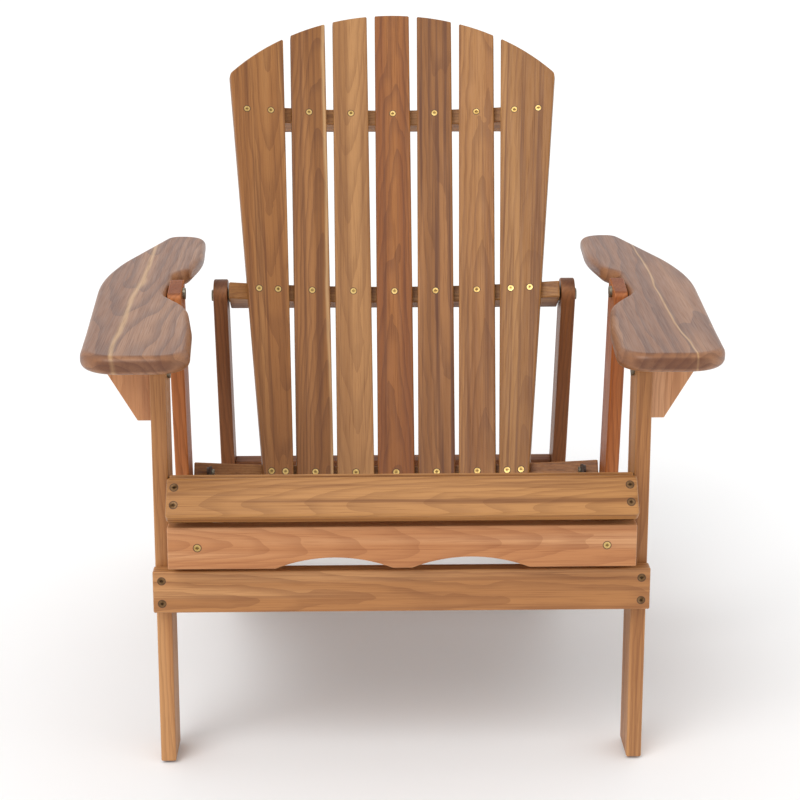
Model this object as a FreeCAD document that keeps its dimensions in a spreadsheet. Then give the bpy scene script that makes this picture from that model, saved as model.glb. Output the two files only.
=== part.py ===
"""Folding wooden Adirondack chair, in millimetres: +X the sitter's left, -Y the front, +Z up, origin at
the middle of the chair's footprint on the ground."""

import FreeCAD, Part
import Sketcher
import math
import os
import re

V = FreeCAD.Vector
# Left and right are as seen from the front.
SIDES = (("left", -1), ("right", 1))

# Driving dimensions, in mm and degrees. "front" is the front face of the front legs.
SIZES = {
    "front": -322, "ease": 2, "play": 0.06, "glide": 3, "glide_radius": 7,
    # side rails, which carry the seat and slope to the ground behind
    "rail_inside": 259, "rail_outside": 278, "rail_slope": 19, "rail_top": 357, "rail_depth": 97,
    "rail_nose": 22, "rail_rear": 450, "rail_tail_round": 30,
    # front legs and cross bar
    "leg_inside": 279, "leg_thick": 18.5, "leg_width": 58, "leg_height": 522,
    "bar_half": 299, "bar_thick": 20, "bar_low": 206.5, "bar_high": 259.2,
    # seat
    "apron_low": 270, "apron_high": 322, "apron_thick": 20, "scallop_radius": 188, "scallop_at": 81,
    "scallop_rise": 13.3, "board_half": 278, "slat_half": 277, "nose_width": 50, "nose_thick": 21,
    "nose_tilt": 50, "nose_ahead": 60, "nose_low": 342, "seat_thick": 16, "seat_width": 46, "seat_pitch": 55.5,
    "seat_start": -8, "stretcher_y": 274, "stretcher_thick": 20, "stretcher_low": 62, "stretcher_high": 116,
    # arms: heights of the board, and the bracket under it
    "arm_low": 530, "arm_thick": 22, "arm_ease": 9, "bracket_low": 436, "bracket_top_width": 73,
    "bracket_low_width": 17, "bracket_thick": 20, "bracket_inside": 298.2,
    # arm posts, between an arm's notch and a side rail
    "post_inside": 279, "post_thick": 18, "post_width": 60, "post_over": 10,
    # pivots: y behind the front legs' face, and height
    "leg_pivot_y": 36, "leg_pivot_z": 278, "arm_pivot_y": 29, "arm_pivot_z": 494,
    "post_top_y": 246, "post_top_z": 541, "post_foot_y": 302, "post_foot_z": 232,
    "hinge_y": 313, "hinge_z": 275,
    # back: its rear plane's foot, recline, hollow and crown
    "back_y": 341.7, "back_z": 284, "recline": 30, "hollow_radius": 1126.4, "hollow": 25,
    "crown_radius": 330, "crown_centre": 348, "slat_foot": -55, "slat_thick": 15, "slat_width": 51,
    "slat_pitch": 56.8, "slat_fan": 0.5626, "slat_gap_behind": 0.6, "wing_inner": 144, "wing_outer": 187,
    "wing_inner_splay": 0.0298, "wing_outer_splay": 0.093,
    "batten_thick": 24, "batten_depth": 52, "lower_batten": -28, "middle_batten": 235, "top_batten": 508,
    "lower_half": 278, "middle_half": 235, "top_half": 205,
    # prop behind the back
    "prop_inside": 237.5, "prop_thick": 20, "prop_width": 46, "prop_back": 26, "prop_up": 247,
    "prop_foot_y": 601, "prop_foot_z": 103, "tie_from_foot": 95, "tie_width": 44, "tie_thick": 18,
    # fastenings
    "bolt": 4, "bolt_head": 8, "screw_head": 4.2, "screw_shank": 2.1, "screw_length": 36,
}

doc = FreeCAD.newDocument("adirondack_chair")
sheet = doc.addObject("Spreadsheet::Sheet", "Sizes")
for row, (alias, number) in enumerate(SIZES.items(), start=1):
    sheet.set(f"A{row}", alias)
    sheet.set(f"B{row}", str(number))
    sheet.setAlias(f"B{row}", alias)
doc.recompute()

nodes = {}


# --- expressions -----------------------------------------------------------------------------------

def bound(text):
    """An expression on the sheet's cells, from one written with their bare names."""
    return re.sub(r"[A-Za-z_]\w*", lambda word: "Sizes." + word[0] if word[0] in SIZES else word[0], str(text))


def value(text):
    """What such an expression comes to."""
    number = sheet.evalExpression(bound(text))
    return float(getattr(number, "Value", number))


def bind(thing, **expressions):
    for name, text in expressions.items():
        thing.setExpression(name, bound(text))


def place(thing, base=("0", "0", "0"), axis=V(1, 0, 0), angle="0"):
    """Puts a thing at a base point, turned about an axis, all bound to the sheet."""
    thing.Placement = FreeCAD.Placement(V(*[value(part) for part in base]),
                                        FreeCAD.Rotation(axis, value(angle)))
    for letter, part in zip("xyz", base):
        thing.setExpression(f"Placement.Base.{letter}", bound(part))
    if value(angle):
        thing.setExpression("Placement.Rotation.Angle", bound(f"({angle}) * 1deg"))


# --- boards ----------------------------------------------------------------------------------------

def draw_outline(sketch, points, arcs):
    """A closed outline whose corners are bound to the sheet. arcs gives a side's radius and the way it
    bulges: +1 to the left of its run, -1 to the right."""
    spots = [V(value(across), value(up), 0) for across, up in points]
    for side, start in enumerate(spots):
        finish = spots[(side + 1) % len(spots)]
        if side in arcs:
            radius, bulge = value(arcs[side][0]), arcs[side][1]
            run = finish - start
            rise = radius - math.sqrt(radius ** 2 - (run.Length / 2) ** 2)
            outward = V(-run.y, run.x, 0).normalize() * bulge
            sketch.addGeometry(Part.Arc(start, (start + finish) / 2 + outward * rise, finish))
        else:
            sketch.addGeometry(Part.LineSegment(start, finish))
    for side, (across, up) in enumerate(points):
        corner = 1
        if side in arcs and arcs[side][1] > 0:
            corner = 2
        for kind, text in (("DistanceX", across), ("DistanceY", up)):
            index = sketch.addConstraint(Sketcher.Constraint(kind, -1, 1, side, corner, value(text)))
            sketch.setExpression(f"Constraints[{index}]", bound(text))
    for side, (radius, bulge) in arcs.items():
        index = sketch.addConstraint(Sketcher.Constraint("Radius", side, value(radius)))
        sketch.setExpression(f"Constraints[{index}]", bound(radius))
    for side in range(len(points)):
        following = (side + 1) % len(points)
        end = 1 if side in arcs and arcs[side][1] > 0 else 2
        start = 2 if following in arcs and arcs[following][1] > 0 else 1
        sketch.addConstraint(Sketcher.Constraint("Coincident", side, end, following, start))


def is_sharp(shape, edge):
    """Whether the two faces that meet at an edge meet at an angle."""
    faces = shape.ancestorsOfType(edge, Part.Face)
    if len(faces) < 2:
        return False
    middle = edge.valueAt((edge.FirstParameter + edge.LastParameter) / 2)
    normals = [face.normalAt(*face.Surface.parameter(middle)) for face in faces[:2]]
    return abs(normals[0].dot(normals[1])) < 0.97


def board(label, plane, points, thick, base=("0", "0", "0"), angle="0", arcs=None, corners=None,
          ease="ease", placement=None):
    """A board cut to an outline, with rounded corners and eased edges."""
    body = doc.addObject("PartDesign::Body", label)
    sketch = body.newObject("Sketcher::SketchObject", label + "_outline")
    role = [item for item in body.Origin.OriginFeatures if item.Role == plane][0]
    sketch.AttachmentSupport = [(role, "")]
    sketch.MapMode = "FlatFace"
    draw_outline(sketch, points, arcs or {})
    pad = body.newObject("PartDesign::Pad", label + "_pad")
    pad.Profile = sketch
    bind(pad, Length=thick)
    sketch.Visibility = False
    doc.recompute()
    last = pad
    for radius, which in (corners or {}).items():
        spots = [sketch.Placement.multVec(V(value(points[i][0]), value(points[i][1]), 0)) for i in which]
        names = [f"Edge{number}" for number, edge in enumerate(last.Shape.Edges, start=1)
                 if len(edge.Vertexes) == 2
                 and any(all(off_line(vertex.Point, spot, plane) < 0.01 for vertex in edge.Vertexes)
                         for spot in spots)]
        last = round_edges(body, last, names, radius, f"{label}_corner_{len(body.Group)}")
    if ease:
        names = [f"Edge{number}" for number, edge in enumerate(last.Shape.Edges, start=1)
                 if is_sharp(last.Shape, edge)]
        last = round_edges(body, last, names, ease, label + "_ease")
    body.Tip = last
    if placement:
        body.Placement = placement
    else:
        place(body, base, angle=angle)
    return body


def off_line(point, spot, plane):
    """How far a point is from the line through a spot, square to a plane."""
    gap = point - spot
    normal = {"YZ_Plane": V(1, 0, 0), "XZ_Plane": V(0, 1, 0), "XY_Plane": V(0, 0, 1)}[plane]
    return (gap - normal * gap.dot(normal)).Length


def round_edges(body, base, names, radius, label):
    fillet = body.newObject("PartDesign::Fillet", label)
    fillet.Base = (base, names)
    bind(fillet, Radius=radius)
    doc.recompute()
    return fillet


def rectangle(low_across, high_across, low_up, high_up):
    return [(low_across, low_up), (high_across, low_up), (high_across, high_up), (low_across, high_up)]


# --- fastenings ------------------------------------------------------------------------------------

def rod(label, radius, start, length, y, z):
    """A round bar along X, from start towards +X."""
    bar = doc.addObject("Part::Cylinder", label)
    bind(bar, Radius=radius, Height=length)
    place(bar, (start, y, z), V(0, 1, 0), "90")
    return bar


def fuse(label, things):
    joined = doc.addObject("Part::MultiFuse", label)
    joined.Shapes = things
    return joined


def cut(label, base, tools):
    """A board less the holes for its fastenings."""
    holes = tools[0]
    if len(tools) > 1:
        holes = doc.addObject("Part::Compound", label + "_holes")
        holes.Links = tools
    drilled = doc.addObject("Part::Cut", label + "_drilled")
    drilled.Base = base
    drilled.Tool = holes
    return drilled


def keep(name, thing):
    thing.Label = name
    nodes[name] = thing
    return thing


def across(sign, inner, outer):
    """Where a bar along X starts and how long it is, between two distances from the middle."""
    return (inner if sign > 0 else f"-({outer})"), f"({outer}) - ({inner})"


def pivot_bolt(name, sign, y, z, spans):
    """A bolt whose shank, head and nut are given as (inner, outer, radius) distances from the middle."""
    pieces = []
    for number, (inner, outer, size) in enumerate(spans):
        start, length = across(sign, inner, outer)
        pieces.append(rod(f"{name}_{number}", size, start, length, y, z))
    return keep(name, fuse(name, pieces))


def hole(name, sign, inner, outer, y, z, radius):
    start, length = across(sign, inner, outer)
    return rod(name, radius, start, length, y, z)


def screw_shapes():
    """A countersunk cross-head screw pointing along -Z with its head flush at the origin, and the same
    without the recess, to cut its hole."""
    head, shank, length = value("screw_head"), value("screw_shank"), value("screw_length")
    lip, neck, recess_half, recess_wide, recess_deep = 0.4, 2.5, 2.3, 0.95, 1.7
    cone = Part.makeCone(shank, head, neck - lip, V(0, 0, -neck))
    body = cone.fuse([Part.makeCylinder(head, lip, V(0, 0, -lip)),
                      Part.makeCylinder(shank, length - neck, V(0, 0, -length))]).removeSplitter()
    half_wide = recess_wide / 2
    arms = [Part.makeBox(2 * recess_half, recess_wide, recess_deep, V(-recess_half, -half_wide, -recess_deep)),
            Part.makeBox(recess_wide, 2 * recess_half, recess_deep, V(-half_wide, -recess_half, -recess_deep))]
    return body.cut(arms[0].fuse(arms[1])), body


screw, screw_hole = screw_shapes()


def screw_group(name, spots):
    """Screws at a list of places, as one node."""
    group = doc.addObject("Part::Feature", name)
    group.Shape = Part.makeCompound([screw.transformed(spot.toMatrix()) for spot in spots])
    keep(name, group)


def screw_holes(label, spots):
    """The solids that cut the screws' holes."""
    holes = doc.addObject("Part::Feature", label)
    holes.Shape = Part.makeCompound([screw_hole.transformed(spot.toMatrix()) for spot in spots])
    return holes


def facing(direction, point):
    """A screw's place: its head at a point, facing a direction."""
    return FreeCAD.Placement(point, FreeCAD.Rotation(V(0, 0, 1), direction))


# --- seat frame ------------------------------------------------------------------------------------

def rail_top_at(behind):
    """The height of the rail's top edge, some way behind the front."""
    return f"rail_top - tan(rail_slope) * ({behind})"


def build_rails():
    nose_line = "nose_low - nose_thick * cos(nose_tilt)" \
                " + (nose_ahead - nose_thick * sin(nose_tilt) {}) * tan(nose_tilt)"
    meet = "((rail_top - nose_low + nose_thick * cos(nose_tilt) - (nose_ahead - nose_thick * sin(nose_tilt))" \
           " * tan(nose_tilt)) / (tan(nose_tilt) + tan(rail_slope)))"
    outline = [
        ("front - rail_nose", rail_top_at("0 - rail_nose") + " - rail_depth"),
        ("front + (rail_top - rail_depth - glide) / tan(rail_slope)", "glide"),
        ("rail_rear", "glide"),
        ("rail_rear", rail_top_at("rail_rear - front")),
        (f"front + {meet}", rail_top_at(meet)),
        ("front - rail_nose", nose_line.format("- rail_nose")),
    ]
    for side, sign in SIDES:
        start = "rail_inside" if sign > 0 else "0 - rail_outside"
        rail = board(f"side_rail_{side}", "YZ_Plane", outline, "rail_outside - rail_inside", (start, "0", "0"),
                     corners={"rail_tail_round": [3]})
        holes = [
            hole(f"rail_leg_hole_{side}", sign, "rail_inside - 1", "rail_outside + 1", "front + leg_pivot_y",
                 "leg_pivot_z", "bolt + play"),
            hole(f"rail_post_hole_{side}", sign, "rail_inside - 1", "rail_outside + 1", "front + post_foot_y",
                 "post_foot_z", "bolt + play"),
            screw_holes(f"rail_screw_holes_{side}", [spot for spot in seat_spots if spot.Base.x * sign > 0]),
        ]
        keep(f"side_rail_{side}", cut(f"side_rail_{side}", rail, holes))


def seat_slat_place(number):
    """Where a seat slat's lower front edge lies, behind the front legs, and how high."""
    along = f"(seat_start / cos(rail_slope) + {number} * seat_pitch)"
    return f"{along} * cos(rail_slope)", rail_top_at(f"{along} * cos(rail_slope)")


def seat_slat_spots(number):
    behind, height = seat_slat_place(number)
    slope = math.radians(value("rail_slope"))
    normal = V(0, math.sin(slope), math.cos(slope))
    along = V(0, math.cos(slope), -math.sin(slope))
    corner = V(0, value(f"front + {behind}"), value(height))
    middle = corner + along * value("seat_width / 2") + normal * value("seat_thick")
    inset = value("(rail_inside + rail_outside) / 2")
    return [facing(normal, middle + V(sign * inset, 0, 0)) for _, sign in SIDES]


def nose_spots():
    tilt = math.radians(value("nose_tilt"))
    normal = V(0, -math.sin(tilt), math.cos(tilt))
    along = V(0, math.cos(tilt), math.sin(tilt))
    corner = V(0, value("front - nose_ahead"), value("nose_low"))
    inset = value("(rail_inside + rail_outside) / 2")
    return [facing(normal, corner + along * height + V(sign * inset, 0, 0))
            for _, sign in SIDES for height in (15, 37)]


def apron_spots():
    height, inset = value("(apron_low + apron_high) / 2 + 1"), value("(rail_inside + rail_outside) / 2 - 26")
    face = value("front - rail_nose - apron_thick")
    return [facing(V(0, -1, 0), V(sign * inset, face, height)) for _, sign in SIDES]


SEAT_SLATS = 6
seat_spots = [spot for number in range(SEAT_SLATS) for spot in seat_slat_spots(number)] + nose_spots()


def build_seat():
    for number in range(SEAT_SLATS):
        behind, height = seat_slat_place(number)
        slat = board(f"seat_slat_{number + 1}", "YZ_Plane", rectangle("0", "seat_width", "0", "seat_thick"),
                     "2 * slat_half", ("0 - slat_half", f"front + {behind}", height), "0 - rail_slope")
        holes = screw_holes(f"seat_slat_holes_{number + 1}", seat_slat_spots(number))
        keep(f"seat_slat_{number + 1}", cut(f"seat_slat_{number + 1}", slat, [holes]))
    nose = board("nose_slat", "YZ_Plane", rectangle("0", "nose_width", "0 - nose_thick", "0"), "2 * board_half",
                 ("0 - board_half", "front - nose_ahead", "nose_low"), "nose_tilt", ease="2 * ease")
    keep("nose_slat", cut("nose_slat", nose, [screw_holes("nose_slat_holes", nose_spots())]))
    screw_group("seat_screws", [spot for number in range(SEAT_SLATS) for spot in seat_slat_spots(number)])
    screw_group("nose_screws", nose_spots())


def build_apron():
    """The front board under the nose slat: two shallow scallops in its lower edge."""
    half_chord = "sqrt(scallop_radius ^ 2 - (scallop_radius - scallop_rise) ^ 2)"
    near, far = f"(scallop_at - {half_chord})", f"(scallop_at + {half_chord})"
    outline = [("0 - board_half", "apron_low"), (f"0 - {far}", "apron_low"), (f"0 - {near}", "apron_low"),
               (near, "apron_low"), (far, "apron_low"), ("board_half", "apron_low"),
               ("board_half", "apron_high"), ("0 - board_half", "apron_high")]
    arcs = {1: ("scallop_radius", 1), 3: ("scallop_radius", 1)}
    apron = board("apron", "XZ_Plane", outline, "apron_thick", ("0", "front - rail_nose", "0"), arcs=arcs)
    keep("apron", cut("apron", apron, [screw_holes("apron_holes", apron_spots())]))
    screw_group("apron_screws", apron_spots())
    for side, sign in SIDES:
        start, length = across(sign, "rail_inside - 34", "rail_inside")
        cleat = board(f"apron_cleat_{side}", "YZ_Plane", rectangle("0", "30", "apron_low + 6", "apron_high"),
                      length, (start, "front - rail_nose", "0"))
        holes = screw_holes(f"cleat_holes_{side}", [spot for spot in apron_spots() if spot.Base.x * sign > 0])
        keep(f"apron_cleat_{side}", cut(f"apron_cleat_{side}", cleat, [holes]))


def build_stretcher():
    """The board between the rails' tails that the prop's forked feet sit over."""
    stretcher = board("rear_stretcher", "YZ_Plane",
                      rectangle("stretcher_y - stretcher_thick / 2", "stretcher_y + stretcher_thick / 2",
                                "stretcher_low", "stretcher_high"),
                      "2 * rail_inside", ("0 - rail_inside", "0", "0"))
    keep("rear_stretcher", stretcher)


# --- front legs ------------------------------------------------------------------------------------

def bar_spots():
    inset, face = value("leg_inside + leg_thick / 2"), value("front - bar_thick")
    return [facing(V(0, -1, 0), V(sign * inset, face, value(height)))
            for _, sign in SIDES for height in ("bar_low + 12", "bar_high - 12")]


def build_front_legs():
    outline = rectangle("front", "front + leg_width", "glide", "leg_height")
    for side, sign in SIDES:
        start, length = across(sign, "leg_inside", "leg_inside + leg_thick")
        leg = board(f"front_leg_{side}", "YZ_Plane", outline, length, (start, "0", "0"),
                    corners={"leg_width / 2 - 0.2": [2, 3]})
        holes = [
            hole(f"leg_pivot_hole_{side}", sign, "leg_inside - 1", "leg_inside + leg_thick + 1",
                 "front + leg_pivot_y", "leg_pivot_z", "bolt"),
            hole(f"leg_arm_hole_{side}", sign, "leg_inside - 1", "leg_inside + leg_thick + 1",
                 "front + arm_pivot_y", "arm_pivot_z", "bolt + play"),
            screw_holes(f"leg_screw_holes_{side}", [spot for spot in bar_spots() if spot.Base.x * sign > 0]),
        ]
        keep(f"front_leg_{side}", cut(f"front_leg_{side}", leg, holes))
        pivot_bolt(f"leg_pivot_bolt_{side}", sign, "front + leg_pivot_y", "leg_pivot_z",
                   [("rail_inside - 1", "leg_inside + leg_thick", "bolt"),
                    ("leg_inside + leg_thick", "leg_inside + leg_thick + 3", "bolt_head"),
                    ("rail_inside - 5", "rail_inside - 0.5", "bolt_head - 1")])
        pivot_bolt(f"arm_pivot_bolt_{side}", sign, "front + arm_pivot_y", "arm_pivot_z",
                   [("leg_inside - 1", "bracket_inside + 30", "bolt"),
                    ("leg_inside - 3.5", "leg_inside - 0.5", "bolt_head")])
    bar = board("front_crossbar", "YZ_Plane", rectangle("front - bar_thick", "front", "bar_low", "bar_high"),
                "2 * bar_half", ("0 - bar_half", "0", "0"))
    keep("front_crossbar", cut("front_crossbar", bar, [screw_holes("bar_holes", bar_spots())]))
    screw_group("crossbar_screws", bar_spots())


# --- arms ------------------------------------------------------------------------------------------

# Arm outline as (distance from the chair's middle, distance behind the front legs).
ARM = [(238, -128), (362, -128), (371, 10), (391.5, 290), (378, 395), (330, 593), (276, 593), (268, 450),
       (279, 350), (298, 318), (298, 198), (262, 128), (247, 10)]
ARM_ROUNDS = {"36": [0], "46": [1], "150": [2, 11, 12], "600": [3, 4], "22": [5], "34": [6], "400": [7],
              "60": [8, 9, 10]}


def build_arms():
    for side, sign in SIDES:
        outline = [(f"{sign} * {out}", f"front + {behind}") for out, behind in ARM]
        arm = board(f"arm_{side}", "XY_Plane", outline, "arm_thick", ("0", "0", "arm_low"),
                    corners=ARM_ROUNDS, ease="arm_ease")
        keep(f"arm_{side}", arm)
        inner = "bracket_inside"
        shape = [(f"{sign} * ({inner})", "bracket_low"),
                 (f"{sign} * ({inner} + bracket_low_width)", "bracket_low"),
                 (f"{sign} * ({inner} + bracket_top_width)", "arm_low"), (f"{sign} * ({inner})", "arm_low")]
        bracket = board(f"arm_bracket_{side}", "XZ_Plane", shape, "bracket_thick",
                        ("0", "front + arm_pivot_y + bracket_thick / 2", "0"), ease="ease / 2")
        bore = hole(f"bracket_hole_{side}", sign, "bracket_inside - 1", "bracket_inside + 30",
                    "front + arm_pivot_y", "arm_pivot_z", "bolt")
        keep(f"arm_bracket_{side}", cut(f"arm_bracket_{side}", bracket, [bore]))


# --- arm posts -------------------------------------------------------------------------------------

def link(label, sign, inside, thick, width, top, foot, ends, corners):
    """A board between two pivots at (y, z), which runs on past the top and foot one by its ends."""
    run = f"sqrt((({top[0]}) - ({foot[0]})) ^ 2 + (({top[1]}) - ({foot[1]})) ^ 2)"
    lean = f"atan((({foot[0]}) - ({top[0]})) / (({top[1]}) - ({foot[1]})))"
    outline = rectangle(f"0 - {width} / 2", f"{width} / 2", f"0 - {ends[1]}", f"{run} + {ends[0]}")
    start, length = across(sign, inside, f"{inside} + {thick}")
    return board(label, "YZ_Plane", outline, length, (start, foot[0], foot[1]), lean, corners=corners)


def build_posts():
    top, foot = ("front + post_top_y", "post_top_z"), ("front + post_foot_y", "post_foot_z")
    for side, sign in SIDES:
        post = link(f"arm_post_{side}", sign, "post_inside", "post_thick", "post_width", top, foot,
                    ("post_over", "post_width / 2"),
                    {"post_width / 2 - 0.2": [0, 1], "post_over - 1": [2, 3]})
        bores = [hole(f"post_bore_{side}_{end}", sign, "post_inside - 1", "post_inside + post_thick + 1",
                      y, z, "bolt") for end, (y, z) in enumerate((top, foot))]
        keep(f"arm_post_{side}", cut(f"arm_post_{side}", post, bores))
        pivot_bolt(f"post_top_bolt_{side}", sign, *top,
                   [("post_inside", "post_inside + post_thick", "bolt"),
                    ("post_inside - 3.5", "post_inside", "bolt_head - 0.5")])
        pivot_bolt(f"post_foot_bolt_{side}", sign, *foot,
                   [("rail_inside - 1", "post_inside + post_thick", "bolt"),
                    ("post_inside + post_thick", "post_inside + post_thick + 3", "bolt_head"),
                    ("rail_inside - 5", "rail_inside - 0.5", "bolt_head - 1")])


# --- back ------------------------------------------------------------------------------------------

BACK = FreeCAD.Placement(V(0, value("front + back_y"), value("back_z")),
                         FreeCAD.Rotation(V(1, 0, 0), -value("recline")))
BATTENS = (("lower", "lower_half"), ("middle", "middle_half"), ("top", "top_half"))


def on_back(out, behind, up):
    """A place in the back's own frame: from the middle, behind its rear plane and up along it."""
    return BACK.multiply(FreeCAD.Placement(V(out, behind, up), FreeCAD.Rotation()))


def hollow_at(out):
    """How far behind the back's rear plane the battens' front edge is, at a distance from the middle."""
    return f"(sqrt(hollow_radius ^ 2 - ({out}) ^ 2) - hollow_radius + hollow)"


def slat_place(out, fan):
    """A back slat's place: its middle line on the hollow, facing square to it, fanned outwards."""
    turn = -math.degrees(math.asin(out / value("hollow_radius")))
    stand = FreeCAD.Placement(V(out, value(hollow_at(out)) - value("slat_gap_behind"), 0),
                              FreeCAD.Rotation(V(0, 0, 1), turn))
    lean = FreeCAD.Placement(V(), FreeCAD.Rotation(V(0, 1, 0), fan))
    return BACK.multiply(stand).multiply(lean)


def crown_at(out, fan, offset):
    """Height of the crown's arc above a slat's foot line, along a slat, at an offset from its middle."""
    centre_across = f"(0 - ({out}) * cos({fan}) - crown_centre * sin({fan}))"
    centre_up = f"(crown_centre * cos({fan}) - ({out}) * sin({fan}))"
    return f"{centre_up} + sqrt(crown_radius ^ 2 - (({offset}) - {centre_across}) ^ 2)"


def build_back_slats():
    """Seven slats: five straight ones in a slight fan, and a tapered wing on each side."""
    spots = {name: [] for name, half in BATTENS}
    for number in range(1, 8):
        step = number - 4
        label = f"back_slat_{number}"
        if abs(step) < 3:
            middle, fan = step * value("slat_pitch"), f"{step} * slat_fan"
            half = "slat_width / 2"
            outline = [(f"0 - {half}", "slat_foot"), (half, "slat_foot"),
                       (half, crown_at(f"{step} * slat_pitch", fan, half)),
                       (f"0 - {half}", crown_at(f"{step} * slat_pitch", fan, f"0 - {half}"))]
            outset = {name: [0] for name in spots}
            corners = None
        else:
            sign, fan = step // 3, "0"
            middle = sign * 0.5 * value("wing_inner + wing_outer + (wing_inner_splay + wing_outer_splay) * 300")
            outline, outset = wing_outline(sign, middle)
            corners = {"9": [2]}
        place_here = slat_place(middle, value(fan))
        slat = board(label, "XZ_Plane", outline, "slat_thick", arcs={2: ("crown_radius", bulge_of(outline))},
                     corners=corners, placement=place_here)
        mine = []
        for name, offsets in outset.items():
            height = value(f"{name}_batten + batten_thick / 2") / math.cos(math.radians(value(fan)))
            for offset in offsets:
                spot = place_here.multiply(facing(V(0, -1, 0), V(offset, -value("slat_thick"), height)))
                mine.append(spot)
                spots[name].append(spot)
        keep(label, cut(label, slat, [screw_holes(label + "_holes", mine)]))
    return spots


def bulge_of(outline):
    """The side that the crown bulges to: outwards, whichever way round the outline runs."""
    first, second = value(outline[0][0]), value(outline[1][0])
    return -1 if second > first else 1


def wing_outline(sign, middle):
    """A tapered outer slat, and where its two screws sit at each batten."""
    inner, outer = "(wing_inner + wing_inner_splay * ({}))", "(wing_outer + wing_outer_splay * ({}))"
    tops = []
    for edge in (outer, inner):
        height = 600.0
        for _ in range(20):
            height = value(f"crown_centre + sqrt(crown_radius ^ 2 - {edge.format(height)} ^ 2)")
        tops.append(round(height, 3))
    corners = [(inner, "slat_foot"), (outer, "slat_foot"), (outer, tops[0]), (inner, tops[1])]
    outline = [(f"{sign} * {edge.format(height)} - ({middle})", str(height)) for edge, height in corners]
    outset = {}
    for name, half in BATTENS:
        height = value(f"{name}_batten + batten_thick / 2")
        low, high = value(inner.format(height)), value(outer.format(height))
        inset = 0.27 * (high - low)
        outset[name] = [sign * spot - middle for spot in (low + inset, high - inset)]
    return outline, outset


def build_battens(spots):
    """Three cross battens with hollow front edges; the middle one carries the prop and the lower one
    the hinge leaves."""
    for name, half in BATTENS:
        label = f"{name}_batten"
        outline = [(f"0 - {half}", hollow_at(half)), (half, hollow_at(half)), (half, "batten_depth"),
                   (f"0 - {half}", "batten_depth")]
        batten = board(label, "XY_Plane", outline, "batten_thick", arcs={0: ("hollow_radius", 1)},
                       placement=on_back(0, 0, value(label)))
        holes = [screw_holes(label + "_holes", spots[name])]
        if name == "middle":
            y, z = prop_top()
            holes += [hole(f"batten_prop_hole_{side}", sign, "middle_half - 30", "middle_half + 1", y, z, "bolt")
                      for side, sign in SIDES]
        keep(label, cut(label, batten, holes))
        screw_group(f"{name}_batten_screws", spots[name])


def prop_top():
    """The prop's pivot in the middle batten's ends, as (y, z)."""
    return ("front + back_y + prop_back * cos(recline) + prop_up * sin(recline)",
            "back_z - prop_back * sin(recline) + prop_up * cos(recline)")


# The rail lug's outline, from the hinge pin: it leads back and down, clear of the arm post's bolt.
LUG = [(-8, 8), (-8, -14), (4, -34), (4, -75), (26, -75), (26, -32), (8, -16), (7, 8)]


def build_hinges():
    """A steel lug on each rail, a leaf under the lower batten beside it, and the pin through both."""
    y, z = "front + hinge_y", "hinge_z"
    for side, sign in SIDES:
        start, length = across(sign, "rail_inside - 3", "rail_inside")
        outline = [(f"front + hinge_y + {back}", f"hinge_z + {up}") for back, up in LUG]
        lug = board(f"hinge_lug_{side}", "YZ_Plane", outline, length, (start, "0", "0"),
                    corners={"6": [0, 7], "5": [3, 4]}, ease=None)
        bore = hole(f"lug_bore_{side}", sign, "rail_inside - 4", "rail_inside + 1", y, z, "3")
        keep(f"hinge_lug_{side}", cut(f"hinge_lug_{side}", lug, [bore]))
        pivot_bolt(f"hinge_pin_{side}", sign, y, z,
                   [("rail_inside - 8", "rail_inside", "3"), ("rail_inside - 10", "rail_inside - 7", "5.5")])
        leaf = build_leaf(side, sign)
        keep(f"hinge_leaf_{side}", leaf)


def build_leaf(side, sign):
    """A bent steel leaf: a flange screwed under the lower batten and an ear that reaches the pin."""
    pin = BACK.inverse().multVec(V(0, value("front + hinge_y"), value("hinge_z")))
    under = value("lower_batten")
    ear_start, ear_length = across(sign, "rail_inside - 6.5", "rail_inside - 3.5")
    outline = [(str(round(pin.y - 9, 2)), str(round(pin.z - 9, 2))), ("6", str(under - 20)),
               ("40", str(under - 16)), ("40", str(under)), (str(round(pin.y + 16, 2)), str(under)),
               (str(round(pin.y + 9, 2)), str(round(pin.z + 9, 2))),
               (str(round(pin.y - 9, 2)), str(round(pin.z + 9, 2)))]
    ear = board(f"leaf_ear_{side}", "YZ_Plane", outline, ear_length,
                corners={"6": [0, 5, 6]}, ease=None, placement=on_back(value(ear_start), 0, 0))
    flange_start, flange_length = across(sign, "rail_inside - 36", "rail_inside - 6.5")
    flange = board(f"leaf_flange_{side}", "YZ_Plane", rectangle("14", "40", str(under - 3), str(under)),
                   flange_length, ease=None, placement=on_back(value(flange_start), 0, 0))
    bore = hole(f"leaf_bore_{side}", sign, "rail_inside - 8", "rail_inside - 1", "front + hinge_y", "hinge_z",
                "3 + play")
    return cut(f"hinge_leaf_{side}", fuse(f"leaf_blank_{side}", [ear, flange]), [bore])


# --- prop ------------------------------------------------------------------------------------------

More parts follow.
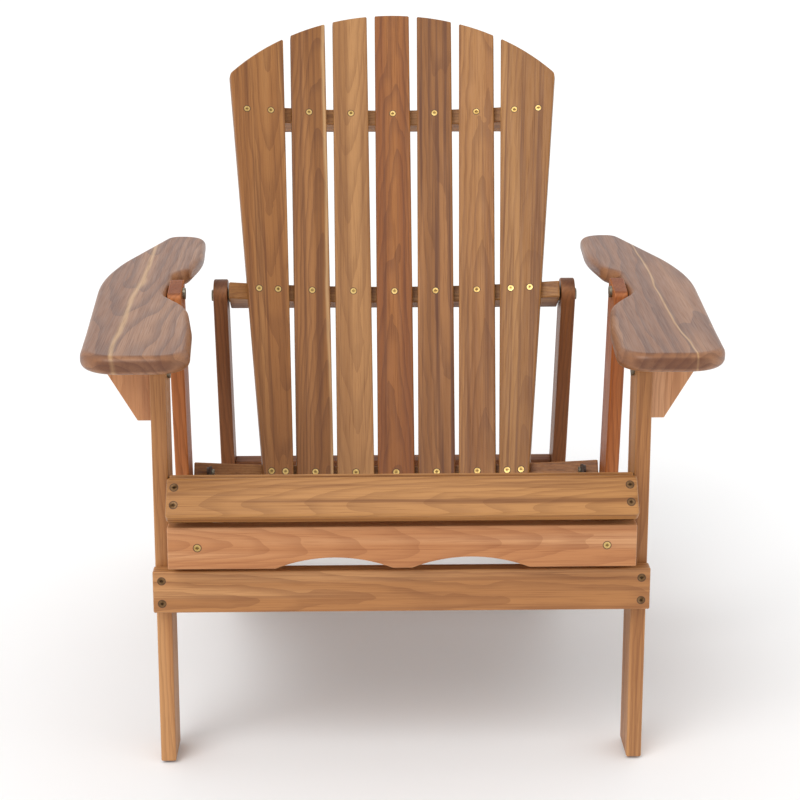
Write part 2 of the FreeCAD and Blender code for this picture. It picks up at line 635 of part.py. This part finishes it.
def build_prop():
    """Two legs hung from the middle batten, forked over the rear stretcher and tied together."""
    top, foot = prop_top(), ("front + prop_foot_y", "prop_foot_z")
    fork_wide, fork_high = "(stretcher_thick + 4)", "(stretcher_high + 0.8)"
    lean = math.atan2(value(f"({foot[0]}) - ({top[0]})"), value(f"({top[1]}) - ({foot[1]})"))
    along = V(0, -math.sin(lean), math.cos(lean))
    tie_middle = V(0, value(foot[0]), value(foot[1])) + along * value("tie_from_foot")
    for side, sign in SIDES:
        leg = link(f"prop_{side}", sign, "prop_inside", "prop_thick", "prop_width", top, foot,
                   ("prop_width / 2", "0"), {"prop_width / 2 - 0.2": [2, 3]})
        start, length = across(sign, "prop_inside - 1", "prop_inside + prop_thick + 1")
        fork = doc.addObject("Part::Box", f"fork_{side}")
        bind(fork, Length=length, Width=fork_wide, Height=f"{fork_high} - 40")
        place(fork, (start, f"stretcher_y - {fork_wide} / 2", "40"))
        bore = hole(f"prop_bore_{side}", sign, "prop_inside - 1", "prop_inside + prop_thick + 1", *top,
                    "bolt + play")
        keep(f"prop_{side}", cut(f"prop_{side}", leg, [fork, bore]))
        pivot_bolt(f"prop_bolt_{side}", sign, *top,
                   [("middle_half - 30", "prop_inside + prop_thick + 0.5", "bolt"),
                    ("middle_half", "prop_inside - 0.4", "bolt_head + 1"),
                    ("prop_inside + prop_thick + 0.4", "prop_inside + prop_thick + 3.4", "bolt_head")])
    tie = board("prop_tie", "YZ_Plane", rectangle("0 - tie_thick / 2", "tie_thick / 2", "0 - tie_width / 2",
                                                  "tie_width / 2"),
                "2 * prop_inside",
                placement=FreeCAD.Placement(V(-value("prop_inside"), tie_middle.y, tie_middle.z),
                                            FreeCAD.Rotation(V(1, 0, 0), math.degrees(lean))))
    keep("prop_tie", tie)


# --- glides ----------------------------------------------------------------------------------------

def build_glides():
    """Round plastic glides under the legs and under the rails' tails."""
    feet = {"leg_glides": ("leg_inside + leg_thick / 2", "front + leg_width / 2"),
            "rail_glides": ("(rail_inside + rail_outside) / 2", "rail_rear - 9")}
    for name, (out, y) in feet.items():
        pair = []
        for side, sign in SIDES:
            disc = doc.addObject("Part::Cylinder", f"{name}_{side}")
            bind(disc, Radius="glide_radius", Height="glide")
            place(disc, (f"{sign} * ({out})", y, "0"))
            pair.append(disc)
        both = doc.addObject("Part::Compound", name)
        both.Links = pair
        keep(name, both)


# --- the chair -------------------------------------------------------------------------------------

build_rails()
build_seat()
build_apron()
build_stretcher()
build_front_legs()
build_arms()
build_posts()
build_battens(build_back_slats())
build_hinges()
build_prop()
build_glides()
doc.recompute()

for thing in doc.Objects:
    if {"Invalid", "Error"} & set(thing.State):
        raise RuntimeError(f"{thing.Label} did not build")
for name, thing in nodes.items():
    if thing.Shape.isNull() or not thing.Shape.isValid() or not thing.Shape.Solids:
        raise RuntimeError(f"{name} has no valid solid")

os.makedirs("parts", exist_ok=True)
for name, thing in nodes.items():
    thing.Shape.exportStep(os.path.join("parts", name + ".step"))
    print(f"{name}: {len(thing.Shape.Solids)} solids, {thing.Shape.Volume / 1000:.1f} cm3")
whole = Part.makeCompound([thing.Shape for thing in nodes.values()]).BoundBox
print(f"{len(nodes)} nodes, x {whole.XMin:.1f} {whole.XMax:.1f} y {whole.YMin:.1f} {whole.YMax:.1f} "
      f"z {whole.ZMin:.1f} {whole.ZMax:.1f}")
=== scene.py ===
"""Folding Adirondack chair of oiled acacia, with brass-plated screws, on a plain white studio floor."""

import math
import random

import bmesh
import bpy
import numpy as np
from mathutils import Matrix, Vector


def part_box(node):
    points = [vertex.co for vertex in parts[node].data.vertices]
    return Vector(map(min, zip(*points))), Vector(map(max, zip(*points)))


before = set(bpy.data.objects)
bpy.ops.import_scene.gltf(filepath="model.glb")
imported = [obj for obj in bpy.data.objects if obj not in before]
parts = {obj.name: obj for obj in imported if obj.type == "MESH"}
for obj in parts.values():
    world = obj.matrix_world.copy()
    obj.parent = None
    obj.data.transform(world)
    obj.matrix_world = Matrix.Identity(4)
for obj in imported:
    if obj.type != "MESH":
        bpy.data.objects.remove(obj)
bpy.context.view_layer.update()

MM = 0.001
# The wave texture's rings repeat every 0.314 of a unit at scale 1.
WAVE_UNIT = math.tau / 20
# The places of a Mix node's sockets when it mixes colours.
MIX_SHARE, MIX_FIRST, MIX_SECOND, MIX_RESULT = 0, 6, 7, 2

# Sorts of acacia board: the pale fibre, the body of the wood and its dark lines.
TONES = {
    "honey": ("#AC7740", "#96602B", "#643409"),
    "golden": ("#AE7B43", "#98652E", "#6B3B0E"),
    "red_brown": ("#A2652A", "#8A4D14", "#592703"),
    "fawn": ("#B6834E", "#9E6C3A", "#70421A"),
    "nut": ("#A46E3A", "#8D5925", "#5C2E08"),
    "tan": ("#C48F5C", "#AC7441", "#764421"),
    "pink_tan": ("#D09A6C", "#B87B4B", "#8C4F28"),
    # Paler than the brackets' own wood: painted light that offsets the shade the arms cast on them.
    "lit_blush": ("#DDA97E", "#C98D5E", "#9E633A"),
    "straw": ("#B8824A", "#A26D36", "#6E3D12"),
    "russet": ("#BC7139", "#A05621", "#6C310A"),
    "umber": ("#A0683A", "#865026", "#54290B"),
    "plum": ("#9C6C48", "#84532F", "#5A2E12"),
}
SAPWOOD = "#D6AC78"
# The dark of the painted shadow in a countersink's rim and of the painted shade in a screw's cross recess.
PAINTED_SCREW_SHADE = "#2E180A"

# Sizes of the wood's patterns in mm: how long each is along the grain, and how wide.
BEND = (260, 55)
STREAK = (500, 7)
BAND = (800, 30)
# Real pores are 0.2 mm wide; drawn 1.1 mm wide so that they show.
PORE = (60, 1.1)
# How deep the tree's heart lies under a board's middle, in mm, and how much it leans, in degrees: the
# least and the most, with each board's own drawn between them.
HEART_DEPTH = (18, 34)
HEART_LEAN = (1.5, 4.0)

# Where each pattern sets in and where it is full, as levels of its noise.
PALE_BANDS = (0.42, 0.62)
RING_LINES = (0.35, 1.0)
DARK_STREAKS = (0.46, 0.70)
DARK_PORES = (0.52, 0.74)
# The same for edges and end grain, as levels of how squarely the surface faces one of the board's ways.
RUBBED_EDGES = (0.985, 0.80)
END_GRAIN = (0.75, 0.95)
# The same for the painted shadow around a screw and the painted shade in its cross recess, as distances from
# the middle of its head in mm.
COUNTERSINK_SHADOW = (5.6, 4.8)
RECESS_SHADE = (2.1, 1.1)


def linear(colour):
    """An sRGB hex colour as linear RGBA."""
    shares = [int(colour[place:place + 2], 16) / 255 for place in (1, 3, 5)]
    straight = [share / 12.92 if share <= 0.04045 else ((share + 0.055) / 1.055) ** 2.4
                for share in shares]
    return straight + [1.0]


def add(tree, kind, inputs=None, **settings):
    """A node with its settings, and its sockets set to values or linked to other sockets."""
    node = tree.nodes.new(kind)
    for name, value in settings.items():
        setattr(node, name, value)
    for place, value in (inputs or {}).items():
        if isinstance(value, bpy.types.NodeSocket):
            tree.links.new(value, node.inputs[place])
        else:
            node.inputs[place].default_value = value
    return node


def bare_material(name):
    """A material with an empty node tree."""
    material = bpy.data.materials.new(name)
    material.use_nodes = True
    material.node_tree.nodes.clear()
    return material, material.node_tree


def dress(name, material):
    """Gives every slot of a part the material."""
    for slot in parts[name].material_slots:
        slot.material = material


# --- how a board lies ------------------------------------------------------------------------------

# Not square to any board, so that each has one face nearer to it.
FRONT_AND_TOP = Vector((0.3, -0.7, 0.6))


def board_lie(name, along=None):
    """A board's middle, the turn from the room to its grain, and half its width, from its own faces.

    The grain runs the way the surface spreads most, or the given way along, and the board's thickness is
    the way it spreads least. The spread is summed over whole triangles, so how they are cut doesn't matter.
    """
    mesh = parts[name].data
    mesh.calc_loop_triangles()
    corners = np.array([[mesh.vertices[v].co for v in face.vertices] for face in mesh.loop_triangles])
    areas = np.array([face.area for face in mesh.loop_triangles])
    middle = (corners.mean(1) * areas[:, None]).sum(0) / areas.sum()
    corners -= middle
    spread = np.einsum("f,fvi,fvj->ij", areas, corners, corners)
    centres = corners.sum(1)
    spread += np.einsum("f,fi,fj->ij", areas, centres, centres)
    ways = np.linalg.eigh(spread)[1]
    grain = Vector(ways[:, 2])
    through = Vector(ways[:, 0])
    if along:
        grain = Vector(along)
        through = (through - grain * through.dot(grain)).normalized()
    # The grain points to the positive side and the thickness to the front and top, on every board.
    grain *= 1 if max(grain, key=abs) > 0 else -1
    through *= 1 if through.dot(FRONT_AND_TOP) > 0 else -1
    across = through.cross(grain)
    turn = Matrix((grain, across, through)).transposed().to_euler()
    half_wide = float(np.abs(corners.reshape(-1, 3) @ np.array(across)).max())
    return Vector(middle), turn, half_wide


def shells(mesh):
    """The corner points of each separate closed shape in a mesh."""
    form = bmesh.new()
    form.from_mesh(mesh)
    bmesh.ops.remove_doubles(form, verts=form.verts, dist=0.01 * MM)
    seen = set()
    for first in form.verts:
        if first in seen:
            continue
        seen.add(first)
        shape = [first]
        for point in shape:
            beside = [edge.other_vert(point) for edge in point.link_edges]
            shape += [other for other in beside if other not in seen]
            seen.update(beside)
        yield np.array([point.co for point in shape])
    form.free()


def screw_heads(name):
    """The middle of each screw head's rim, its points farthest from the shank, in a set of screws."""
    heads = []
    for points in shells(parts[name].data):
        middle = points.mean(0)
        shank = np.linalg.eigh(np.cov((points - middle).T))[1][:, 2]
        from_shank = np.linalg.norm(np.cross(points - middle, shank), axis=1)
        heads.append(Vector(points[from_shank > 0.9 * from_shank.max()].mean(0)))
    return heads


def heads_on(name):
    """The screw heads that lie in a board's box, give or take a millimetre."""
    low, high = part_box(name)
    return [head for heads in SCREW_HEADS.values() for head in heads
            if all(low[axis] - MM < head[axis] < high[axis] + MM for axis in range(3))]


def gap_to_nearest(tree, room, heads):
    """The distance from a point to the nearest of some screw heads, or None without any."""
    nearest = None
    for head in heads:
        gap = add(tree, "ShaderNodeVectorMath", {0: room.outputs["Object"], 1: head}, operation="DISTANCE")
        if nearest is None:
            nearest = gap.outputs["Value"]
            continue
        less = add(tree, "ShaderNodeMath", {0: nearest, 1: gap.outputs["Value"]}, operation="MINIMUM")
        nearest = less.outputs[0]
    return nearest


SCREW_HEADS = {name: screw_heads(name) for name in sorted(parts) if name.endswith("_screws")}


# --- wood ------------------------------------------------------------------------------------------

def acacia(name, tone, seed, arches=0.5, streaks=0.5, ring=4.5, sway=18.0, pale_line=None, coat=0.0,
           along=None):
    """Planed acacia, oiled by hand: ring lines that arch where the saw ran flat, long colour streaks,
    open pores as short dark dashes, darker end grain that drank the oil, and edges rubbed a little paler.

    Arches and streaks are how strong the ring lines and the streaks are. Ring is how far apart the rings
    are and sway how far the fibres wander, in mm. Pale_line is the place of a line of sapwood across the
    board, and its width, in mm. Coat is how much of a second coat of oil lies on top. Along is the way of
    the grain where a piece's longest way doesn't give it.
    """
    pale, body, dark = [linear(colour) for colour in TONES[tone]]
    middle, turn, half_wide = board_lie(name, along)
    chance = random.Random(seed)
    start = [chance.uniform(-9, 9) for _ in range(3)]
    material, tree = bare_material(f"Oiled acacia {name}")
    room = add(tree, "ShaderNodeTexCoord")
    board = add(tree, "ShaderNodeMapping",
                {"Vector": room.outputs["Object"], "Location": middle, "Rotation": turn},
                vector_type="TEXTURE")

    def fibres(size, detail=2.0, roughness=0.5):
        """Noise drawn out along the grain, in patches of a length and width in mm."""
        length = size[0] * MM
        width = size[1] * MM
        stretch = add(tree, "ShaderNodeMapping",
                      {"Vector": board.outputs[0], "Location": start,
                       "Scale": (1 / length, 1 / width, 1 / width)})
        return add(tree, "ShaderNodeTexNoise",
                   {"Vector": stretch.outputs[0], "Scale": 1.0, "Detail": detail, "Roughness": roughness})

    def share(value, low, high, most=1.0):
        """A value's smooth rise between two levels, up to a share."""
        rise = add(tree, "ShaderNodeMapRange",
                   {"Value": value, "From Min": low, "From Max": high, "To Min": 0.0, "To Max": most},
                   interpolation_type="SMOOTHSTEP")
        return rise.outputs["Result"]

    def blend(first, second, amount):
        """One colour with a share of another laid over it."""
        mix = add(tree, "ShaderNodeMix", {MIX_SHARE: amount, MIX_FIRST: first, MIX_SECOND: second},
                  data_type="RGBA")
        return mix.outputs[MIX_RESULT]

    # The fibres wander by up to half the sway to either side.
    wander = fibres(BEND)
    bent = add(tree, "ShaderNodeVectorMath",
               {0: wander.outputs["Color"], 1: (0.0, sway * MM, sway * MM), 2: board.outputs[0]},
               operation="MULTIPLY_ADD")
    # Growth rings about the tree's heart. It lies under the board and leans, so the rings come out as arches.
    heart = (0.0, chance.uniform(-0.5, 0.5) * half_wide, -chance.uniform(*HEART_DEPTH) * MM)
    lean = chance.choice((-1, 1)) * math.radians(chance.uniform(*HEART_LEAN))
    trunk = add(tree, "ShaderNodeMapping",
                {"Vector": bent.outputs[0], "Location": heart, "Rotation": (0.0, lean, 0.0)},
                vector_type="TEXTURE")
    rings = add(tree, "ShaderNodeTexWave",
                {"Vector": trunk.outputs[0], "Scale": WAVE_UNIT / (ring * MM),
                 "Distortion": 2.0, "Detail": 2.0, "Detail Scale": 0.35},
                wave_type="RINGS", rings_direction="X", wave_profile="SAW")
    streak = fibres(STREAK, detail=3.0, roughness=0.6)
    band = fibres(BAND, detail=1.0)
    pores = fibres(PORE, roughness=0.6)

    colour = blend(body, pale, share(band.outputs["Fac"], *PALE_BANDS, most=0.85))
    colour = blend(colour, dark, share(rings.outputs["Fac"], *RING_LINES, most=0.70 * arches))
    colour = blend(colour, dark, share(streak.outputs["Fac"], *DARK_STREAKS, most=1.2 * streaks))
    if pale_line:
        line_at, width = [size * MM for size in pale_line]
        apart = add(tree, "ShaderNodeSeparateXYZ", {0: bent.outputs[0]})
        # The noise that bends the fibres is about a half in the middle, so it shifts them by half the sway.
        beside = add(tree, "ShaderNodeMath", {0: apart.outputs["Y"], 1: line_at + sway / 2 * MM},
                     operation="SUBTRACT")
        gap = add(tree, "ShaderNodeMath", {0: beside.outputs[0]}, operation="ABSOLUTE")
        colour = blend(colour, linear(SAPWOOD), share(gap.outputs[0], width / 2, 0.0, most=0.6))
    colour = blend(colour, dark, share(pores.outputs["Fac"], *DARK_PORES, most=0.45))

    # Each screw head sits in a countersink; the shadow in its rim is painted onto the board as a thin dark
    # ring.
    nearest = gap_to_nearest(tree, room, heads_on(name))
    if nearest:
        outer, inner = [size * MM for size in COUNTERSINK_SHADOW]
        colour = blend(colour, linear(PAINTED_SCREW_SHADE), share(nearest, outer, inner, most=0.85))

    # How squarely the surface faces each of the board's own ways.
    facing = add(tree, "ShaderNodeMapping",
                 {"Vector": room.outputs["Normal"], "Rotation": turn}, vector_type="TEXTURE")
    plain = add(tree, "ShaderNodeVectorMath", {0: facing.outputs[0]}, operation="ABSOLUTE")
    sides = add(tree, "ShaderNodeSeparateXYZ", {0: plain.outputs[0]})
    wider = add(tree, "ShaderNodeMath", {0: sides.outputs["Y"], 1: sides.outputs["Z"]},
                operation="MAXIMUM")
    widest = add(tree, "ShaderNodeMath", {0: wider.outputs[0], 1: sides.outputs["X"]},
                 operation="MAXIMUM")
    colour = blend(colour, pale, share(widest.outputs[0], *RUBBED_EDGES, most=0.30))
    colour = blend(colour, dark, share(sides.outputs["X"], *END_GRAIN, most=0.65))

    # The oil lies satin between the pores and matt in them.
    gloss = add(tree, "ShaderNodeMapRange",
                {"Value": pores.outputs["Fac"], "From Min": 0.35, "From Max": 0.70, "To Min": 0.40,
                 "To Max": 0.58})
    # Pores are sunk, and the hard late wood of each ring stands a little proud.
    height = add(tree, "ShaderNodeMath",
                 {0: pores.outputs["Fac"], 1: -1.0, 2: share(rings.outputs["Fac"], 0.0, 1.0, most=0.35)},
                 operation="MULTIPLY_ADD")
    relief = add(tree, "ShaderNodeBump",
                 {"Height": height.outputs[0], "Strength": 0.5, "Distance": 0.4 * MM})
    surface = add(tree, "ShaderNodeBsdfPrincipled",
                  {"Base Color": colour, "Roughness": gloss.outputs["Result"],
                   "Normal": relief.outputs["Normal"], "IOR": 1.45, "Coat Weight": coat,
                   "Coat Roughness": 0.32})
    add(tree, "ShaderNodeOutputMaterial", {"Surface": surface.outputs[0]})
    dress(name, material)


# --- metal and plastic -----------------------------------------------------------------------------

def small_ware(name, clean, worn, metal, roughness, patch, grit, depth, heads=()):
    """Plated, coated or moulded ware: patches of wear over a fine surface grit.

    Patch, grit and depth are the width of a patch, and the width and depth of the grit, in mm. Heads are
    the middles of screw heads whose cross recesses get a painted shade spot.
    """
    material, tree = bare_material(name)
    room = add(tree, "ShaderNodeTexCoord")
    patches = add(tree, "ShaderNodeTexNoise",
                  {"Vector": room.outputs["Object"], "Scale": 1 / (patch * MM), "Detail": 3.0})
    fine = add(tree, "ShaderNodeTexNoise",
               {"Vector": room.outputs["Object"], "Scale": 1 / (grit * MM), "Detail": 2.0})
    wear = add(tree, "ShaderNodeMapRange",
               {"Value": patches.outputs["Fac"], "From Min": 0.40, "From Max": 0.70})
    colour = add(tree, "ShaderNodeMix",
                 {MIX_SHARE: wear.outputs[0], MIX_FIRST: linear(clean), MIX_SECOND: linear(worn)},
                 data_type="RGBA")
    nearest = gap_to_nearest(tree, room, heads)
    if nearest:
        # Painted shade in the cross recess; the cross is too thin to show, so its shade is drawn as a soft
        # dark spot.
        outer, inner = [size * MM for size in RECESS_SHADE]
        recess_shade = add(tree, "ShaderNodeMapRange",
                   {"Value": nearest, "From Min": outer, "From Max": inner, "To Max": 0.8})
        colour = add(tree, "ShaderNodeMix",
                     {MIX_SHARE: recess_shade.outputs[0], MIX_FIRST: colour.outputs[MIX_RESULT],
                      MIX_SECOND: linear(PAINTED_SCREW_SHADE)},
                     data_type="RGBA")
    # Clean patches are a little smoother than the given roughness and worn ones a little rougher.
    gloss = add(tree, "ShaderNodeMapRange",
                {"Value": patches.outputs["Fac"], "From Min": 0.35, "From Max": 0.70,
                 "To Min": roughness - 0.08, "To Max": roughness + 0.10})
    relief = add(tree, "ShaderNodeBump",
                 {"Height": fine.outputs["Fac"], "Strength": 0.4, "Distance": depth * MM})
    surface = add(tree, "ShaderNodeBsdfPrincipled",
                  {"Base Color": colour.outputs[MIX_RESULT], "Metallic": metal,
                   "Roughness": gloss.outputs[0], "Normal": relief.outputs["Normal"]})
    add(tree, "ShaderNodeOutputMaterial", {"Surface": surface.outputs[0]})
    return material


# Yellow zinc plate on steel screws: pale brass colour, a little cloudy.
BRASS_SETS = ["apron_screws", "lower_batten_screws", "middle_batten_screws", "top_batten_screws"]
brass_plate = small_ware("Yellow zinc plate", clean="#D2B272", worn="#A8864C", metal=1.0, roughness=0.40,
                         patch=9.0, grit=0.5, depth=0.03,
                         heads=[head for name in BRASS_SETS for head in SCREW_HEADS[name]])
# The same plate gone dull in the open: brown bronze, nearly matt.
BRONZE_SETS = ["seat_screws", "nose_screws", "crossbar_screws"]
bronze_plate = small_ware("Dulled bronze plate", clean="#86694A", worn="#5E442A", metal=1.0,
                          roughness=0.50, patch=9.0, grit=0.5, depth=0.05,
                          heads=[head for name in BRONZE_SETS for head in SCREW_HEADS[name]])
# Zinc plate on the pivot bolts and hinge pins, weathered to a dull warm grey with a soft spangle.
zinc_plate = small_ware("Zinc plated steel", clean="#97917F", worn="#6A6458", metal=1.0, roughness=0.45,
                        patch=6.0, grit=0.8, depth=0.03)
# Brown powder coat on the bent hinge steel; its orange peel is about 0.6 mm, drawn at 1.5 mm.
powder_coat = small_ware("Brown powder coat", clean="#3B2A1D", worn="#4A3627", metal=0.0, roughness=0.52,
                         patch=20.0, grit=1.5, depth=0.10)
# Moulded nylon glides: black, satin, scuffed a little greyer in patches.
moulded_nylon = small_ware("Moulded black nylon", clean="#121213", worn="#262524", metal=0.0,
                           roughness=0.46, patch=5.0, grit=0.7, depth=0.05)

WARE = {"leg_glides": moulded_nylon, "rail_glides": moulded_nylon}
WARE.update({name: brass_plate for name in BRASS_SETS})
WARE.update({name: bronze_plate for name in BRONZE_SETS})
for name in parts:
    if "bolt" in name or "hinge_pin" in name:
        WARE[name] = zinc_plate
    if "hinge_lug" in name or "hinge_leaf" in name:
        WARE[name] = powder_coat
for name, material in WARE.items():
    dress(name, material)

# Each board's tone and seed, and where it differs from the others. A pale line's place is measured from
# the board's middle, with + to the left as seen from the front.
acacia("back_slat_1", "honey", 11, arches=0.5, streaks=0.6)
acacia("back_slat_2", "nut", 12, arches=0.6, streaks=0.5, pale_line=(-24, 9))
acacia("back_slat_3", "fawn", 13, arches=0.4, streaks=0.4)
acacia("back_slat_4", "red_brown", 14, arches=0.55, streaks=0.4, ring=3.5)
acacia("back_slat_5", "nut", 15, arches=0.5, streaks=0.8)
acacia("back_slat_6", "honey", 16, arches=0.5, streaks=0.5)
acacia("back_slat_7", "golden", 17, arches=0.4, streaks=0.7)
acacia("lower_batten", "honey", 18)
acacia("middle_batten", "golden", 19)
acacia("top_batten", "straw", 20)
acacia("prop_left", "umber", 21)
acacia("prop_right", "umber", 22)
acacia("prop_tie", "umber", 23)
# The arms are flat sawn from wide boards, with broad arches, and got a second coat of oil.
acacia("arm_left", "plum", 24, arches=0.9, streaks=0.35, ring=11, sway=34,
       pale_line=(14, 9), coat=0.3)
acacia("arm_right", "plum", 25, arches=0.9, streaks=0.4, ring=12, sway=34,
       pale_line=(-16, 5), coat=0.3)
UPRIGHT = (0, 0, 1)
# The brackets' tone carries painted light against the shade under the arms.
acacia("arm_bracket_left", "lit_blush", 26, streaks=0.3, along=UPRIGHT)
acacia("arm_bracket_right", "lit_blush", 27, streaks=0.3, along=UPRIGHT)
acacia("arm_post_left", "russet", 28)
acacia("arm_post_right", "russet", 29)
acacia("front_leg_left", "tan", 30, arches=0.4, streaks=0.3)
acacia("front_leg_right", "tan", 31, arches=0.5, streaks=0.5)
acacia("front_crossbar", "tan", 52, arches=0.5, streaks=0.4, ring=5)
acacia("nose_slat", "straw", 33, arches=0.4, streaks=0.6)
acacia("apron", "pink_tan", 34, arches=0.45, streaks=0.35)
acacia("apron_cleat_left", "nut", 35)
acacia("apron_cleat_right", "nut", 36)
acacia("side_rail_left", "nut", 37)
acacia("side_rail_right", "nut", 38)
acacia("rear_stretcher", "nut", 39)
for number, tone in enumerate(("straw", "honey", "fawn", "nut", "golden", "honey"), start=1):
    acacia(f"seat_slat_{number}", tone, 40 + number)


# --- floor, light and camera -----------------------------------------------------------------------

def studio_floor():
    """A wide sheet of white paper on the ground, with a faint tooth and no shine."""
    mesh = bpy.data.meshes.new("studio_floor")
    # Far enough, in metres, that its edge is never in view.
    reach = 30.0
    edge = [(-reach, -reach, 0), (reach, -reach, 0), (reach, reach, 0), (-reach, reach, 0)]
    mesh.from_pydata(edge, [], [(0, 1, 2, 3)])
    floor = bpy.data.objects.new("studio_floor", mesh)
    bpy.context.scene.collection.objects.link(floor)
    material, tree = bare_material("Matt white paper")
    room = add(tree, "ShaderNodeTexCoord")
    tooth = add(tree, "ShaderNodeTexNoise", {"Vector": room.outputs["Object"], "Scale": 1 / (4 * MM)})
    relief = add(tree, "ShaderNodeBump",
                 {"Height": tooth.outputs["Fac"], "Strength": 0.1, "Distance": 0.1 * MM})
    surface = add(tree, "ShaderNodeBsdfPrincipled",
                  {"Base Color": linear("#F8F8F8"), "Roughness": 0.9, "Specular IOR Level": 0.0,
                   "Normal": relief.outputs["Normal"]})
    add(tree, "ShaderNodeOutputMaterial", {"Surface": surface.outputs[0]})
    mesh.materials.append(material)


def studio_light():
    """An even white room that looks pure white itself, and one broad soft key from the upper front left."""
    world = bpy.data.worlds.new("White room")
    bpy.context.scene.world = world
    world.use_nodes = True
    world.node_tree.nodes.clear()
    tree = world.node_tree
    path = add(tree, "ShaderNodeLightPath")
    # The strength that falls on things, and the strength the camera sees.
    glow = add(tree, "ShaderNodeMapRange",
               {"Value": path.outputs["Is Camera Ray"], "To Min": 0.92, "To Max": 1.0})
    white = add(tree, "ShaderNodeBackground", {"Color": linear("#FFFFFF"), "Strength": glow.outputs[0]})
    add(tree, "ShaderNodeOutputWorld", {"Surface": white.outputs[0]})
    key = bpy.data.objects.new("soft_key", bpy.data.lights.new("soft_key", "SUN"))
    key.data.energy = 1.1
    # So wide that its shadows have no edge.
    key.data.angle = math.radians(35)
    towards_key = Vector((-0.35, -0.55, 0.75))
    key.rotation_euler = towards_key.to_track_quat("Z", "Y").to_euler()
    bpy.context.scene.collection.objects.link(key)


def studio_camera():
    """A long lens from just above arm height, looking a little down at the front."""
    camera = bpy.data.objects.new("camera", bpy.data.cameras.new("camera"))
    camera.location = (-0.0481, -2.4753, 1.0713)
    look_down = math.radians(13.29)
    look_right = math.radians(1.22)
    camera.rotation_euler = (math.radians(90) - look_down, 0.0, -look_right)
    camera.data.lens = 84.96
    camera.data.shift_y = -0.1
    bpy.context.scene.collection.objects.link(camera)
    bpy.context.scene.camera = camera


studio_floor()
studio_light()
studio_camera()
bpy.context.scene.view_settings.view_transform = "Standard"
